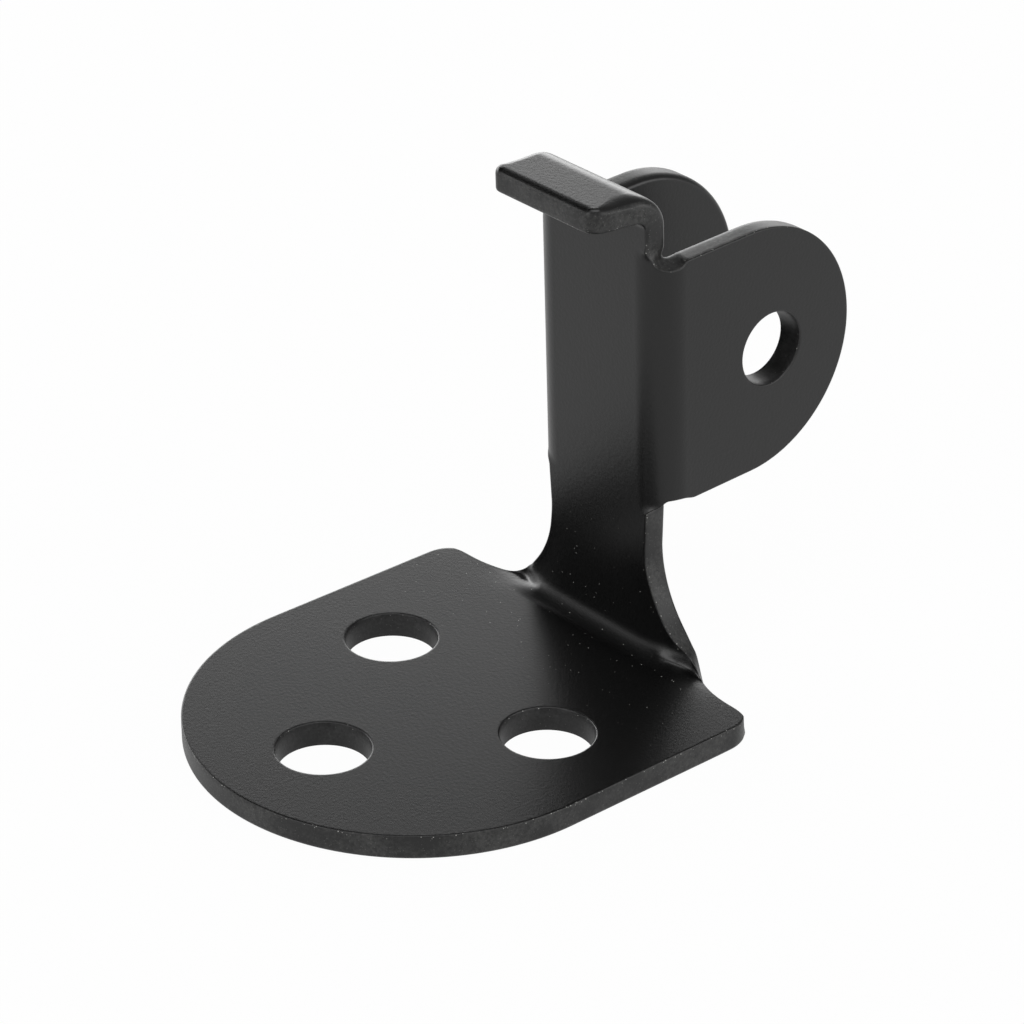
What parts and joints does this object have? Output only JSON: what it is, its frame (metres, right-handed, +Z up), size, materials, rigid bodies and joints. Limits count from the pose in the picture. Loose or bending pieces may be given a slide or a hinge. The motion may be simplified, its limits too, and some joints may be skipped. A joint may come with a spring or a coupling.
{
  "type": "shock absorber mounting plate",
  "caption": "Folded sheet-steel bracket: round-front base with three bolt holes, necked upright with a short lip, and two drilled ears folded back as a clevis for a shock absorber.",
  "frame": {"origin": "midway between the axes of the two back bolt holes, on the underside of the base", "axes": "+X across the part along the pivot bore, +Y from the round front of the base to the ears, +Z up from the base"},
  "size_m": [0.054, 0.0833, 0.062],
  "materials": {
    "powder_coated_steel": "satin"
  },
  "bodies": {
    "root": {"mounting_plate": "powder_coated_steel"}
  },
  "joints": []
}
